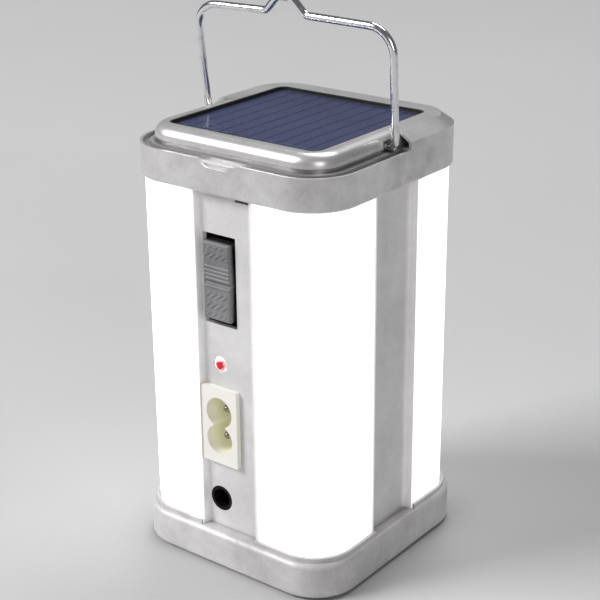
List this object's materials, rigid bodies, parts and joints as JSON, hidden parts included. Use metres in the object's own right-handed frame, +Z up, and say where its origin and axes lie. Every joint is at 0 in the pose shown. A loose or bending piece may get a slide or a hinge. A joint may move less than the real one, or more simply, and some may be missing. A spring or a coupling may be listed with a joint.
{
  "type": "solar lantern",
  "caption": "Square hand lantern with lit corner diffusers, roof solar panel, folding wire handle, rocker switch, mains inlet and low-voltage jack.",
  "frame": {"origin": "on the floor, in the middle of the base", "axes": "+Z up along the body, -Y towards the front panel with the switch and inlets, +X to the right in a view along +Y, which is a view of that panel"},
  "size_m": [0.074, 0.074, 0.1661],
  "materials": {
    "silver_plastic": "satin metallic-silver paint on moulded plastic",
    "milky_plastic": "milky light-scattering plastic",
    "white_plastic": "plain white moulded plastic",
    "steel_wire": "bright plated steel wire",
    "black_rubber": "matt",
    "solar_backing": "dark blue laminate",
    "solar_cell": "indigo silicon under resin",
    "clear_resin": "clear resin",
    "switch_grey": "fine textured",
    "black_plastic": "semi-matt",
    "cream_plastic": "smooth moulded",
    "nickel": "nickel plated",
    "brass": "bare",
    "red_lens": "clear red lens",
    "cell_wrap": "shrink wrap",
    "circuit_board": "solder mask",
    "white_board": "white solder mask",
    "lamp_chip": "phosphor",
    "component_black": "moulded",
    "capacitor_sleeve": "sleeved aluminium can",
    "lead_insulation": "soft insulation",
    "zinc_screw": "zinc plated"
  },
  "bodies": {
    "body": {"base_housing": "silver_plastic", "base_screws": "zinc_screw", "battery_cell": "cell_wrap", "battery_cradle": "black_plastic", "battery_tabs": "nickel", "board_capacitors": "capacitor_sleeve", "board_chips": "component_black", "board_connectors": "white_plastic", "board_diodes": "component_black", "board_screws": "zinc_screw", "charger_board": "circuit_board", "charger_capacitor": "capacitor_sleeve", "dc_jack_body": "black_plastic", "dc_jack_pin": "nickel", "deck_screws": "zinc_screw", "diffuser_front_left": "milky_plastic", "diffuser_front_right": "milky_plastic", "diffuser_rear_left": "milky_plastic", "diffuser_rear_right": "milky_plastic", "front_panel": "silver_plastic", "indicator_led": "red_lens", "inlet_housing": "cream_plastic", "inlet_pins": "nickel", "led_board_front_left": "white_board", "led_board_front_right": "white_board", "led_board_rear_left": "white_board", "led_board_rear_right": "white_board", "led_chips_front_left": "lamp_chip", "led_chips_front_right": "lamp_chip", "led_chips_rear_left": "lamp_chip", "led_chips_rear_right": "lamp_chip", "left_panel": "silver_plastic", "main_board": "circuit_board", "rear_panel": "silver_plastic", "reflector_front_left": "white_plastic", "reflector_front_right": "white_plastic", "reflector_rear_left": "white_plastic", "reflector_rear_right": "white_plastic", "right_panel": "silver_plastic", "roof_screws": "zinc_screw", "rubber_feet": "black_rubber", "solar_backing": "solar_backing", "solar_cells": "solar_cell", "solar_gasket": "black_rubber", "solar_leads": "lead_insulation", "solar_window": "clear_resin", "switch_housing": "black_plastic", "switch_pivot_pin": "nickel", "switch_terminals": "brass", "top_housing": "silver_plastic", "upper_deck": "black_plastic"},
    "handle": {"carry_handle": "steel_wire"},
    "rocker": {"switch_rocker": "switch_grey"}
  },
  "joints": [
    {"name": "handle_fold", "type": "hinge", "parent": "body", "child": "handle", "pos_m": [0, 0, 0.1272], "axis": [1, 0, 0], "range_deg": [-40, 84]},
    {"name": "switch_tilt", "type": "hinge", "parent": "body", "child": "rocker", "pos_m": [-0.00285, -0.027, 0.0904], "axis": [1, 0, 0], "range_deg": [-8, 8]}
  ]
}
